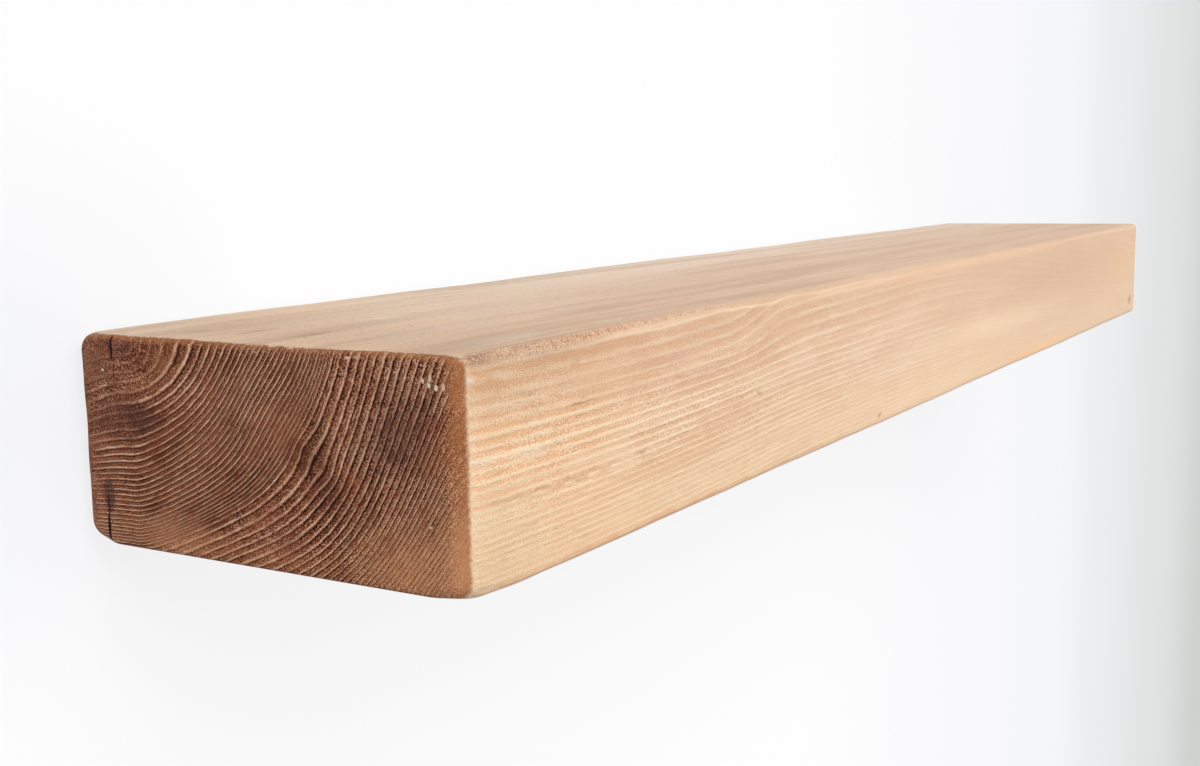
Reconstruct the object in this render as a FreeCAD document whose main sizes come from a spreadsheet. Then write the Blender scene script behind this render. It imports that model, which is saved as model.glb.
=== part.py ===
import FreeCAD, Part
import math
import os
from enum import IntEnum

import Sketcher

# A floating wall shelf: one solid timber beam that slides on to a concealed steel bracket.
#
# The bracket is a flat bar with three rods, held to the wall by eight screws and washers.
# The beam's back has a stopped channel for the bar and the screw heads, and three blind
# bores for the rods, so the beam closes flat against the wall and hides the bracket.
#
# Frame: +X along the wall, +Y into the wall, +Z up, in millimetres. The origin is on the
# wall plane, at the middle of the bar's back face, which is also the beam's mid-height.

SIZES = [
    # alias, value, what it measures
    ("beam_length", 900, "timber beam, along the wall"),
    ("beam_depth", 160, "timber beam, out from the wall"),
    ("beam_height", 70, "timber beam, bottom to top"),
    ("end_corner_radius", 9, "upright corners of the beam, worn round"),
    ("arris_radius", 5, "long and end arrises of the beam"),
    ("bar_height", 46, "flat bar, bottom to top"),
    ("bar_thickness", 6, "flat bar, out from the wall"),
    ("bar_corner_radius", 4, "corners of the flat bar"),
    ("bar_edge_radius", 0.8, "rolled edges of the flat bar"),
    ("channel_end_cover", 69, "timber left past each end of the channel"),
    ("channel_clearance", 1, "gap all round the bar in its channel"),
    ("channel_head_room", 1.9, "gap between the screw heads and the channel's floor"),
    ("router_radius", 6.35, "cutter that leaves the channel's corners round"),
    ("rod_diameter", 16, "support rods"),
    ("rod_inset", 80, "outer rods, in from the ends of the bar"),
    ("rod_tip_chamfer", 2, "lead-in on each rod's tip"),
    ("rod_clearance", 0.3, "radial gap of a rod in its bore"),
    ("bore_front_cover", 25, "timber left in front of the bores"),
    ("bore_end_room", 4, "gap past a rod's tip"),
    ("bore_mouth_width", 2, "countersink round each bore's mouth, radially"),
    ("spigot_diameter", 12, "turned end of each rod, seated in the bar"),
    ("spigot_clearance", 0.1, "radial gap of the spigot in the bar"),
    ("spigot_recess", 1, "spigot's end below the bar's back face"),
    ("spigot_hole_chamfer", 0.8, "back of each spigot hole"),
    ("weld_leg", 4, "fillet weld round each rod"),
    ("screw_end_margin", 30, "outer screws, in from the ends of the bar"),
    ("screw_edge_margin", 11, "screws, in from the bar's long edges"),
    ("screw_length", 60, "wall screw, under its head"),
    ("thread_diameter", 8, "wall screw, over its thread"),
    ("neck_diameter", 6, "plain neck of the wall screw, through the washer and bar"),
    ("neck_relief", 0.4, "full thread starts this far past the wall plane"),
    ("screw_point", 8, "tapered point of the wall screw"),
    ("head_across_flats", 13, "hexagon head"),
    ("head_height", 5.5, "hexagon head"),
    ("head_face_inset", 0.3, "turned face of the head, in from the flats"),
    ("screw_hole_clearance", 0.5, "radial gap round the thread in the bar's holes"),
    ("washer_diameter", 16, "washer, outside"),
    ("washer_thickness", 1.6, "washer"),
    ("washer_clearance", 0.2, "radial gap round the thread in the washer"),
]

# Sizes that follow from others, as expressions of the sheet's cells.
BAR_LENGTH = "(sizes.beam_length - 2 * sizes.channel_end_cover - 2 * sizes.channel_clearance)"
CHANNEL_LENGTH = "(sizes.beam_length - 2 * sizes.channel_end_cover)"
CHANNEL_HEIGHT = "(sizes.bar_height + 2 * sizes.channel_clearance)"
HEAD_SEAT = "(sizes.bar_thickness + sizes.washer_thickness)"
CHANNEL_DEPTH = "(" + HEAD_SEAT + " + sizes.head_height + sizes.channel_head_room)"
ROD_OFFSET = "(" + BAR_LENGTH + " / 2 - sizes.rod_inset)"
BORE_DEPTH = "(sizes.beam_depth - sizes.bore_front_cover)"
ROD_TIP = "(" + BORE_DEPTH + " - sizes.bore_end_room)"
OUTER_SCREW = "(" + BAR_LENGTH + " / 2 - sizes.screw_end_margin)"
INNER_SCREW = "(" + ROD_OFFSET + " / 2)"
SCREW_ROW = "(sizes.bar_height / 2 - sizes.screw_edge_margin)"
SCREW_TIP = "(sizes.screw_length - " + HEAD_SEAT + ")"
THREAD_RADIUS = "(sizes.thread_diameter / 2)"
NECK_RADIUS = "(sizes.neck_diameter / 2)"
ROD_RADIUS = "(sizes.rod_diameter / 2)"
SPIGOT_HOLE_RADIUS = "(sizes.spigot_diameter / 2)"
HEAD_CORNER = "(sizes.head_across_flats / sqrt(3))"
HEAD_TOP = "(" + HEAD_SEAT + " + sizes.head_height)"

# Stations along the wall and rows up it: name, and place as an expression.
RODS = [("left", "-" + ROD_OFFSET), ("middle", "0"), ("right", ROD_OFFSET)]
SCREW_COLUMNS = [
    ("1", "-" + OUTER_SCREW),
    ("2", "-" + INNER_SCREW),
    ("3", INNER_SCREW),
    ("4", OUTER_SCREW),
]
SCREW_ROWS = [("upper", SCREW_ROW), ("lower", "-" + SCREW_ROW)]

HEAD_CHAMFER_SLOPE = "tan(30)"
SAME_PLACE = 0.01
ALLOWED_MISS = 0.1


class Held(IntEnum):
    """Sketcher's numbers for the two axes of a sketch and for the points of a line or circle."""

    VERTICAL_AXIS = -2
    HORIZONTAL_AXIS = -1
    START = 1
    END = 2
    CENTRE = 3


ORIGIN_POINT = (Held.HORIZONTAL_AXIS, Held.START)

doc = FreeCAD.newDocument("floating_shelf")
sheet = doc.addObject("Spreadsheet::Sheet", "sizes")
for row, (alias, amount, meaning) in enumerate(SIZES, start=1):
    sheet.set(f"A{row}", alias)
    sheet.set(f"B{row}", str(amount))
    sheet.setAlias(f"B{row}", alias)
    sheet.set(f"C{row}", meaning)
doc.recompute()


def number(expression):
    """The present value of an expression of the sheet's cells."""
    return float(sheet.evalExpression(expression))


def new_body(name, x="0", z="0"):
    """A body that is placed along and up the wall by expressions."""
    body = doc.addObject("PartDesign::Body", name)
    body.Label = name
    body.setExpression("Placement.Base.x", x)
    body.setExpression("Placement.Base.z", z)
    return body


def new_sketch(body, name, plane_role, offset="0"):
    """A sketch on one of the body's own origin planes, or offset along its normal."""
    plane = next(item for item in body.Origin.OriginFeatures if item.Role == plane_role)
    sketch = body.newObject("Sketcher::SketchObject", name)
    sketch.AttachmentSupport = (plane, [""])
    sketch.MapMode = "FlatFace"
    sketch.setExpression("AttachmentOffset.Base.z", offset)
    return sketch


def hold(sketch, kind, label, expression, *places):
    """Add a dimension to a sketch and bind it to an expression."""
    index = sketch.addConstraint(Sketcher.Constraint(kind, *places, number(expression)))
    sketch.renameConstraint(index, label)
    sketch.setExpression("Constraints." + label, expression)


def pin_point(sketch, geometry, point, label, across, up):
    """Fix a point of a sketch at a place given by two expressions."""
    if number(across) == 0:
        sketch.addConstraint(Sketcher.Constraint("PointOnObject", geometry, point, Held.VERTICAL_AXIS))
    else:
        hold(sketch, "DistanceX", label + "_across", across, *ORIGIN_POINT, geometry, point)
    if number(up) == 0:
        sketch.addConstraint(Sketcher.Constraint("PointOnObject", geometry, point, Held.HORIZONTAL_AXIS))
    else:
        hold(sketch, "DistanceY", label + "_up", up, *ORIGIN_POINT, geometry, point)


def draw_polygon(sketch, corners):
    """A closed outline whose corners are pairs of expressions."""
    points = [FreeCAD.Vector(number(across), number(up), 0) for across, up in corners]
    for index, point in enumerate(points):
        sketch.addGeometry(Part.LineSegment(point, points[(index + 1) % len(points)]))
    for index, (across, up) in enumerate(corners):
        before = (index - 1) % len(corners)
        sketch.addConstraint(Sketcher.Constraint("Coincident", before, Held.END, index, Held.START))
        pin_point(sketch, index, Held.START, f"corner{index}", across, up)


def draw_circle(sketch, label, radius, across="0", up="0"):
    """A circle whose radius and centre are expressions."""
    centre = FreeCAD.Vector(number(across), number(up), 0)
    axis = FreeCAD.Vector(0, 0, 1)
    index = sketch.addGeometry(Part.Circle(centre, axis, number(radius)))
    hold(sketch, "Radius", label + "_radius", radius, index)
    pin_point(sketch, index, Held.CENTRE, label, across, up)


def rectangle(width, height, top=None):
    """Corners of a rectangle centred on the origin, or hanging from the line y = 0."""
    half = f"({width}) / 2"
    if top == "on axis":
        return [(f"-{half}", f"-({height})"), (half, f"-({height})"), (half, "0"), (f"-{half}", "0")]
    rise = f"({height}) / 2"
    return [(f"-{half}", f"-{rise}"), (half, f"-{rise}"), (half, rise), (f"-{half}", rise)]


def extrude(body, kind, name, sketch, length, **settings):
    """A Pad or a Pocket of a sketch, with its length bound to an expression."""
    feature = body.newObject("PartDesign::" + kind, name)
    feature.Profile = sketch
    for setting, choice in settings.items():
        setattr(feature, setting, choice)
    if length is not None:
        feature.setExpression("Length", length)
    sketch.Visibility = False
    doc.recompute()
    return feature


def revolve(body, kind, name, sketch):
    """A Revolution or a Groove of a sketch, a full turn about the sketch's upright axis."""
    feature = body.newObject("PartDesign::" + kind, name)
    feature.Profile = sketch
    feature.ReferenceAxis = (sketch, ["V_Axis"])
    feature.Angle = 360
    sketch.Visibility = False
    doc.recompute()
    return feature


def dress(body, kind, name, base, is_chosen, property_name, expression):
    """A Fillet or a Chamfer on those edges of a feature that a test picks out."""
    edges = [
        f"Edge{index}"
        for index, edge in enumerate(base.Shape.Edges, start=1)
        if is_chosen(edge)
    ]
    feature = body.newObject("PartDesign::" + kind, name)
    feature.Base = (base, edges)
    feature.setExpression(property_name, expression)
    doc.recompute()
    return feature


def runs_along(edge, direction):
    """True for a straight edge parallel to a direction."""
    return edge.Curve.TypeId == "Part::GeomLine" and abs(edge.Curve.Direction.dot(direction)) > 0.999


def lies_at(edge, axis, level):
    """True for an edge whose whole box lies at one level of an axis (0 = X, 1 = Y, 2 = Z)."""
    box = edge.BoundBox
    low = (box.XMin, box.YMin, box.ZMin)[axis]
    high = (box.XMax, box.YMax, box.ZMax)[axis]
    return abs(low - level) < SAME_PLACE and abs(high - level) < SAME_PLACE


def is_round(edge, radius):
    """True for a circular edge of a given radius."""
    return edge.Curve.TypeId == "Part::GeomCircle" and abs(edge.Curve.Radius - radius) < SAME_PLACE


def check_cut(feature, expected, what):
    """Compare the volume that a cut took away with the volume it should have taken."""
    taken = feature.BaseFeature.Shape.Volume - feature.Shape.Volume
    if abs(taken - expected) > ALLOWED_MISS * expected:
        raise RuntimeError(f"{what} took {taken:.0f} mm3 and should take {expected:.0f} mm3")


def make_shelf_beam():
    """The timber: a long block with worn arrises, a stopped channel and three blind bores."""
    body = new_body("shelf_beam")
    upright = FreeCAD.Vector(0, 0, 1)
    along_y = FreeCAD.Vector(0, 1, 0)

    plan = new_sketch(body, "beam_plan", "XY_Plane", "-sizes.beam_height / 2")
    draw_polygon(plan, rectangle("sizes.beam_length", "sizes.beam_depth", top="on axis"))
    block = extrude(body, "Pad", "beam_block", plan, "sizes.beam_height")
    corners = dress(
        body, "Fillet", "beam_corners", block,
        lambda edge: runs_along(edge, upright), "Radius", "sizes.end_corner_radius",
    )
    half_height = number("sizes.beam_height") / 2
    arrises = dress(
        body, "Fillet", "beam_arrises", corners,
        lambda edge: lies_at(edge, 2, half_height) or lies_at(edge, 2, -half_height),
        "Radius", "sizes.arris_radius",
    )

    outline = new_sketch(body, "channel_outline", "XZ_Plane")
    draw_polygon(outline, rectangle(CHANNEL_LENGTH, CHANNEL_HEIGHT))
    channel = extrude(body, "Pocket", "bar_channel", outline, CHANNEL_DEPTH, Reversed=True)
    block_taken = number(f"{CHANNEL_LENGTH} * {CHANNEL_HEIGHT} * {CHANNEL_DEPTH}")
    check_cut(channel, block_taken, "the channel")
    half_channel = number(CHANNEL_LENGTH) / 2
    channel_corners = dress(
        body, "Fillet", "channel_corners", channel,
        lambda edge: runs_along(edge, along_y) and abs(abs(edge.CenterOfMass.x) - half_channel) < SAME_PLACE,
        "Radius", "sizes.router_radius",
    )

    centres = new_sketch(body, "bore_centres", "XZ_Plane")
    for label, across in RODS:
        draw_circle(centres, label, "sizes.rod_diameter / 2 + sizes.rod_clearance", across)
    doc.recompute()
    bores = extrude(body, "Pocket", "rod_bores", centres, BORE_DEPTH, Reversed=True)
    bore_radius = number("sizes.rod_diameter / 2 + sizes.rod_clearance")
    bore_taken = len(RODS) * math.pi * bore_radius**2 * number(f"{BORE_DEPTH} - {CHANNEL_DEPTH}")
    check_cut(bores, bore_taken, "the bores")
    channel_floor = -number(CHANNEL_DEPTH)
    dress(
        body, "Chamfer", "bore_mouths", bores,
        lambda edge: lies_at(edge, 1, channel_floor) and is_round(edge, bore_radius),
        "Size", "sizes.bore_mouth_width",
    )
    return body


def make_back_bar():
    """The flat bar: rolled edges, round corners, eight screw holes and three spigot holes."""
    body = new_body("back_bar")
    along_y = FreeCAD.Vector(0, 1, 0)

    face = new_sketch(body, "bar_face", "XZ_Plane")
    draw_polygon(face, rectangle(BAR_LENGTH, "sizes.bar_height"))
    flat = extrude(body, "Pad", "bar_flat", face, "sizes.bar_thickness")
    corners = dress(
        body, "Fillet", "bar_corners", flat,
        lambda edge: runs_along(edge, along_y), "Radius", "sizes.bar_corner_radius",
    )
    front = -number("sizes.bar_thickness")
    rolled = dress(
        body, "Fillet", "bar_rolled_edges", corners,
        lambda edge: lies_at(edge, 1, 0) or lies_at(edge, 1, front),
        "Radius", "sizes.bar_edge_radius",
    )

    screw_centres = new_sketch(body, "screw_hole_centres", "XZ_Plane")
    for column, across in SCREW_COLUMNS:
        for row_name, up in SCREW_ROWS:
            radius = THREAD_RADIUS + " + sizes.screw_hole_clearance"
            draw_circle(screw_centres, f"{row_name}_{column}", radius, across, up)
    doc.recompute()
    holes = extrude(body, "Pocket", "screw_holes", screw_centres, None, Type="ThroughAll", Reversed=True)
    hole_area = math.pi * number(THREAD_RADIUS + " + sizes.screw_hole_clearance") ** 2
    hole_count = len(SCREW_COLUMNS) * len(SCREW_ROWS)
    check_cut(holes, hole_count * hole_area * number("sizes.bar_thickness"), "the screw holes")

    spigot_centres = new_sketch(body, "spigot_hole_centres", "XZ_Plane")
    for label, across in RODS:
        draw_circle(spigot_centres, label, SPIGOT_HOLE_RADIUS, across)
    doc.recompute()
    seats = extrude(body, "Pocket", "spigot_holes", spigot_centres, None, Type="ThroughAll", Reversed=True)
    seat_area = math.pi * number(SPIGOT_HOLE_RADIUS) ** 2
    check_cut(seats, len(RODS) * seat_area * number("sizes.bar_thickness"), "the spigot holes")
    spigot_radius = number(SPIGOT_HOLE_RADIUS)
    dress(
        body, "Chamfer", "spigot_hole_backs", seats,
        lambda edge: lies_at(edge, 1, 0) and is_round(edge, spigot_radius),
        "Size", "sizes.spigot_hole_chamfer",
    )
    return body


def make_support_rod(label, across):
    """A round rod with a turned spigot in the bar, a fillet weld and a chamfered tip."""
    body = new_body("support_rod_" + label, x=across)
    profile = new_sketch(body, f"rod_profile_{label}", "XY_Plane")
    spigot_radius = SPIGOT_HOLE_RADIUS + " - sizes.spigot_clearance"
    draw_polygon(profile, [
        ("0", "-sizes.spigot_recess"),
        ("0", "-" + ROD_TIP),
        (ROD_RADIUS + " - sizes.rod_tip_chamfer", "-" + ROD_TIP),
        (ROD_RADIUS, "sizes.rod_tip_chamfer - " + ROD_TIP),
        (ROD_RADIUS, "-sizes.bar_thickness - sizes.weld_leg"),
        (ROD_RADIUS + " + sizes.weld_leg", "-sizes.bar_thickness"),
        (spigot_radius, "-sizes.bar_thickness"),
        (spigot_radius, "-sizes.spigot_recess"),
    ])
    revolve(body, "Revolution", f"rod_turned_{label}", profile)
    return body


def make_wall_screw(label, across, up):
    """A hexagon-head wall screw: plain neck, thread over its crests, and a tapered point."""
    body = new_body("wall_screw_" + label, x=across, z=up)
    shank_profile = new_sketch(body, f"shank_profile_{label}", "XY_Plane")
    run_out = f"sizes.neck_relief - {THREAD_RADIUS} + {NECK_RADIUS}"
    draw_polygon(shank_profile, [
        ("0", "-" + HEAD_SEAT),
        (NECK_RADIUS, "-" + HEAD_SEAT),
        (NECK_RADIUS, run_out),
        (THREAD_RADIUS, "sizes.neck_relief"),
        (THREAD_RADIUS, SCREW_TIP + " - sizes.screw_point"),
        ("0", SCREW_TIP),
    ])
    revolve(body, "Revolution", f"shank_{label}", shank_profile)

    hexagon = new_sketch(body, f"head_hexagon_{label}", "XZ_Plane", HEAD_SEAT)
    flat = "sizes.head_across_flats / 2"
    draw_polygon(hexagon, [
        ("0", HEAD_CORNER),
        (flat, HEAD_CORNER + " / 2"),
        (flat, f"-{HEAD_CORNER} / 2"),
        ("0", "-" + HEAD_CORNER),
        (f"-{flat}", f"-{HEAD_CORNER} / 2"),
        (f"-{flat}", HEAD_CORNER + " / 2"),
    ])
    head = extrude(body, "Pad", f"head_{label}", hexagon, "sizes.head_height")

    face_radius = f"({flat} - sizes.head_face_inset)"
    past_corner = "(sizes.head_across_flats)"
    chamfer_depth = f"({past_corner} - {face_radius}) * {HEAD_CHAMFER_SLOPE}"
    chamfer_profile = new_sketch(body, f"head_chamfer_profile_{label}", "XY_Plane")
    draw_polygon(chamfer_profile, [
        (face_radius, "-" + HEAD_TOP),
        (past_corner, "-" + HEAD_TOP),
        (past_corner, f"{chamfer_depth} - {HEAD_TOP}"),
    ])
    chamfered = revolve(body, "Groove", f"head_chamfer_{label}", chamfer_profile)
    if chamfered.Shape.Volume >= head.Shape.Volume:
        raise RuntimeError("the head's chamfer took nothing")
    return body


def make_washer(label, across, up):
    """A plain round washer between a screw's head and the bar."""
    body = new_body("washer_" + label, x=across, z=up)
    ring = new_sketch(body, f"washer_ring_{label}", "XZ_Plane", "sizes.bar_thickness")
    draw_circle(ring, "outside", "sizes.washer_diameter / 2")
    draw_circle(ring, "inside", THREAD_RADIUS + " + sizes.washer_clearance")
    extrude(body, "Pad", f"washer_plate_{label}", ring, "sizes.washer_thickness")
    return body


def check_document():
    """Stop if any object failed to compute."""
    for item in doc.Objects:
        if "Invalid" in item.State or "Error" in item.State:
            raise RuntimeError(f"{item.Name} failed: {item.State}")


def write_steps(bodies):
    """Check each sub-part's shape and write it under its own name."""
    os.makedirs("parts", exist_ok=True)
    for body in bodies:
        shape = body.Shape
        if shape.isNull() or not shape.isValid() or len(shape.Solids) != 1:
            raise RuntimeError(f"{body.Label} isn't one valid solid")
        shape.exportStep(f"parts/{body.Label}.step")
        print(f"{body.Label}: {shape.Volume / 1000:.2f} cm3")


bodies = [make_shelf_beam(), make_back_bar()]
for label, across in RODS:
    bodies.append(make_support_rod(label, across))
for row_name, up in SCREW_ROWS:
    for column, across in SCREW_COLUMNS:
        bodies.append(make_wall_screw(f"{row_name}_{column}", across, up))
        bodies.append(make_washer(f"{row_name}_{column}", across, up))
doc.recompute()
check_document()
write_steps(bodies)
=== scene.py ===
"""Looks of a floating timber shelf: one solid beam of oiled softwood, slid over the rods of a steel bracket.

Frame: origin on the wall behind the middle of the beam, +X along the wall, +Y into it, +Z up, in metres.
Growth rings are worked out in millimetres, from the pith near the top of the beam's back half.
"""

import math

import bmesh
import bpy
import numpy as np
from mathutils import Matrix, Vector


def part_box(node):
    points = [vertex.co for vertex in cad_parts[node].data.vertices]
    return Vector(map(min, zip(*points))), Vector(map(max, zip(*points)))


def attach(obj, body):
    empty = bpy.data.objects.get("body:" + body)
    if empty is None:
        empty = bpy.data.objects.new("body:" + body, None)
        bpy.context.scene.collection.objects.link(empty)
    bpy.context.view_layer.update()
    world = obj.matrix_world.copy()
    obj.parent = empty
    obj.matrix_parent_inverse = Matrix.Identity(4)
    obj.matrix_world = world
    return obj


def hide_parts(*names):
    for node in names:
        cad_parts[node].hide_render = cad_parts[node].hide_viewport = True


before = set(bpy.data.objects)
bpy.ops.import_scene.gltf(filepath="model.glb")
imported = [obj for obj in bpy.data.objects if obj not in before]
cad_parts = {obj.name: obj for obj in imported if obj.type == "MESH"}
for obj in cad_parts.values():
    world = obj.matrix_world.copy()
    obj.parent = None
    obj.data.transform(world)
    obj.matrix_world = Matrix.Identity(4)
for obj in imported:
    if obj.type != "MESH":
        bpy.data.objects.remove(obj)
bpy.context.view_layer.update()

MM = 0.001
BAR_THICKNESS = 6 * MM
WASHER_THICKNESS = 1.6 * MM
CHANNEL = Vector((762, 15, 48)) * MM
ROUTER_RADIUS = 6.35 * MM
BORES = (-300 * MM, 0, 300 * MM)
BORE_RADIUS = 8.3 * MM
BORE_DEPTH = 135 * MM
BORE_MOUTH = 2 * MM
CORNER_RADIUS = 9 * MM
ARRIS_RADIUS = 5 * MM
END_ARRIS_RADIUS = 2.6 * MM
FINE_MARGIN = 9.6 * MM
GROOVE_DEPTH = 0.16 * MM
HOLLOW = 0.25 * MM
HEAD_SEAT = -BAR_THICKNESS - WASHER_THICKNESS
HEAD_FLATS = 13 * MM
HEAD_HEIGHT = 5.5 * MM
NECK_RADIUS = 3 * MM
NECK_TUCK = 0.3 * MM
NECK_END = -0.6 * MM
THREAD_RADIUS = 4 * MM
THREAD_ROOT = 2.9 * MM
THREAD_PITCH = 3.4 * MM
THREAD_START = 0.4 * MM
POINT_START = 44.4 * MM
SCREW_TIP = 52.4 * MM
TURN_STEPS = 24
SHARP_ANGLE = math.radians(38)
WALL_FADE = 2
LENS = 43.11
CAMERA_PLACE = (-0.7585, -0.3909, 0.0831)
CAMERA_TURN = (81.667, 1.061, -58.779)

# Growth rings from the pith outwards: where a run of like rings starts and how wide each is, in millimetres.
RING_RUNS = (
    (0, 2.35),
    (21.15, 2.54),
    (31.3, 1.83),
    (40.45, 1.55),
    (45.1, 1.36),
    (58.7, 1.1),
    (62, 0.9375),
    (65.75, 1.4),
    (67.15, 2.25),
    (69.4, 3),
    (72.4, 2.4),
    (77.2, 2.2),
    (79.4, 2.8),
    (82.2, 2.5),
    (87.2, 2.3),
    (96.4, 2.15),
    (100.7, 1.85),
    (106.25, 1.65),
    (122.75, 1.45),
    (200, 1.45),
)
PITH = (-25, 31.5)
# Where growth bulged or hung back: centre y, centre z, push and spread, in millimetres.
SWELLS = (
    (-27, 30, 15, 26),
    (-84, 16, 3.5, 14),
    (-111, -24, -9.5, 28),
    (-102, 4, 1.1, 3.5),
    (-110, -3, -1.1, 3.5),
)
# How far the grain has sunk at places along the beam, x and drop in millimetres.
GRAIN_SAG = ((-450, 0), (-380, 1), (-280, 3), (-150, 3), (0, 2), (90, 3), (250, 8), (410, 15), (450, 17))


def paint(red, green, blue):
    """A colour given in screen values from 0 to 255, as Blender's linear colour."""
    return tuple(
        c / 3294.6 if c < 10.3 else ((c / 255 + 0.055) / 1.055) ** 2.4
        for c in (red, green, blue)
    ) + (1,)


def in_metres(lengths):
    return [length * MM for length in lengths]


def soft_step(value, low, high):
    t = np.clip((value - low) / (high - low), 0, 1)
    return t * t * (3 - 2 * t)


# ---------------------------------------------------------------- growth rings


def grain_place(points):
    """Each point moved back to where its grain crosses the left end, in millimetres."""
    x, y, z = points.T / MM
    sag = np.interp(x, *zip(*GRAIN_SAG))
    sag = sag * (1 + (soft_step(z, -15, 25) - 0.6) * (1 - soft_step(x, -150, 0)))
    rise = soft_step(x, -288, -236) * (1 - soft_step(x, -120, 260))
    lift = 6.5 * rise * soft_step(z, 4, 29)
    sway = 5 * np.sin((x + 450) / 230) * soft_step(x, -450, -200)
    return y - sway, z + sag - lift


def ring_reach(points):
    """How far each point lies from the pith, measured across the growth rings."""
    y, z = grain_place(points)
    out = np.where(y > PITH[0], 0.3, 0.72) * (y - PITH[0])
    aside = np.where(y > PITH[0], -0.05 * (np.hypot(y - PITH[0], 6) - 6), 0.42 * (np.hypot(out, 6) - 6))
    rise = z - PITH[1] - aside
    reach = np.hypot(out, rise)
    square = 2.6 - 0.6 * soft_step(reach, 14, 44)
    reach = (np.abs(out) ** square + np.abs(rise) ** square) ** (1 / square)
    for cy, cz, push, spread in SWELLS:
        reach += push * np.exp(-((y - cy) ** 2 + (z - cz) ** 2) / (2 * spread**2))
    return reach


def count_rings(reach):
    """How many growth rings lie within a reach, and how wide the rings are there."""
    starts, widths = np.array(RING_RUNS).T
    counts = np.concatenate([[0], np.cumsum(np.diff(starts) / widths[:-1])])
    return np.interp(reach, starts, counts), np.interp(reach, starts, widths)


# ---------------------------------------------------------------- mesh help


def mesh_from(bm, name):
    mesh = bpy.data.meshes.new(name)
    bm.to_mesh(mesh)
    bm.free()
    return mesh


def put_in_scene(name, data):
    thing = bpy.data.objects.new(name, data)
    bpy.context.scene.collection.objects.link(thing)
    return thing


def shade(mesh):
    """Smooth shading that keeps the sharp edges."""
    mesh.shade_smooth()
    mesh.set_sharp_from_angle(angle=SHARP_ANGLE)


def piece_of(mesh, name, body, material):
    """A named piece that rides on a body."""
    piece = put_in_scene(name, mesh)
    mesh.materials.clear()
    mesh.materials.append(material)
    shade(mesh)
    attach(piece, body)
    return piece


def read_vectors(source, name):
    values = np.empty(len(source) * 3, np.float32)
    source.foreach_get(name, values)
    return values.reshape(-1, 3).astype(float)


def write_points(mesh, points):
    mesh.vertices.foreach_set("co", points.astype(np.float32).ravel())
    mesh.update()


def keep_value(mesh, name, values):
    layer = mesh.attributes.new(name, "FLOAT", "POINT")
    layer.data.foreach_set("value", values.astype(np.float32))


def block(size, centre):
    bm = bmesh.new()
    bmesh.ops.create_cube(bm, size=1)
    bmesh.ops.scale(bm, verts=bm.verts, vec=size)
    bmesh.ops.translate(bm, verts=bm.verts, vec=centre)
    return bm


def turn_profile(bm, x, profile, steps):
    """Turns a line of radii and depths about an axis along Y."""
    verts = [bm.verts.new((x + radius, y, 0)) for radius, y in profile]
    edges = [bm.edges.new(pair) for pair in zip(verts, verts[1:])]
    bmesh.ops.spin(
        bm, geom=verts + edges, cent=(x, 0, 0), axis=(0, 1, 0), angle=math.tau, steps=steps, use_merge=True
    )


def edges_along(bm, axis):
    return [e for e in bm.edges if abs((e.verts[0].co - e.verts[1].co)[axis]) > 1e-5]


def slice_along(bm, axis, stations):
    """Cuts a mesh at each station along an axis, so that it carries values smoothly."""
    normal = Vector((0, 0, 0))
    normal[axis] = 1
    for station in stations:
        geometry = list(bm.verts) + list(bm.edges) + list(bm.faces)
        bmesh.ops.bisect_plane(bm, geom=geometry, plane_co=normal * station, plane_no=normal)


def cut_away(piece, cutter_bm):
    """Cuts a closed shape out of a piece for good."""
    cutter = put_in_scene("cutter", mesh_from(cutter_bm, "cutter"))
    modifier = piece.modifiers.new("cut", "BOOLEAN")
    modifier.operation = "DIFFERENCE"
    modifier.solver = "EXACT"
    modifier.object = cutter
    depsgraph = bpy.context.evaluated_depsgraph_get()
    result = bpy.data.meshes.new_from_object(piece.evaluated_get(depsgraph))
    piece.modifiers.clear()
    piece.data = result
    bpy.data.objects.remove(cutter)


# ---------------------------------------------------------------- beam


def graded_stations(half, fine, margin, coarse):
    """Places from -half to half: close together near both ends, wider apart in the middle."""
    step, reach, places = fine, 0, [0]
    while reach < half - 0.6 * step:
        reach += step
        if reach > margin:
            step = min(step * 1.25, coarse)
        places.append(reach)
    places = np.array(places) * half / places[-1]
    return np.concatenate([places - half, (half - places[:-1])[::-1]])


def round_beam(points, half, corner, arris):
    """Rounds the four upright corners and then every top and bottom edge of a box of points."""
    plan = points[:, :2]
    corner = np.broadcast_to(corner, len(points))[:, None]
    core = np.array(half[:2]) - corner
    inner = np.clip(plan, -core, core)
    out = plan - inner
    far = np.abs(out).max(1)
    length = np.maximum(np.hypot(*out.T), 1e-9)
    plan = inner + out * (far / length)[:, None]
    out = plan - inner
    overhang = np.abs(plan) - core
    depth = corner[:, 0] - np.hypot(*np.maximum(overhang, 0).T) - np.minimum(overhang.max(1), 0)
    away = np.where(
        (np.abs(out).max(1) > 1e-9)[:, None],
        out,
        np.sign(plan) * (overhang == overhang.max(1)[:, None]),
    )
    away /= np.maximum(np.hypot(*away.T), 1e-9)[:, None]
    z = points[:, 2]
    a = np.maximum(arris - depth, 0)
    b = np.maximum(np.abs(z) - (half[2] - arris), 0)
    shrink = np.maximum(a, b) / np.maximum(np.hypot(a, b), 1e-9)
    shrink = np.where((a > 0) & (b > 0), shrink, 1)
    plan = plan + away * (a * (shrink - 1))[:, None]
    z = z + np.sign(z) * b * (shrink - 1)
    return np.column_stack([plan, z])


def ripple(x, *waves):
    """A gentle unevenness along the beam: each wave is height, length and phase."""
    return sum(height * np.sin(math.tau * x / length + phase) for height, length, phase in waves)


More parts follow.
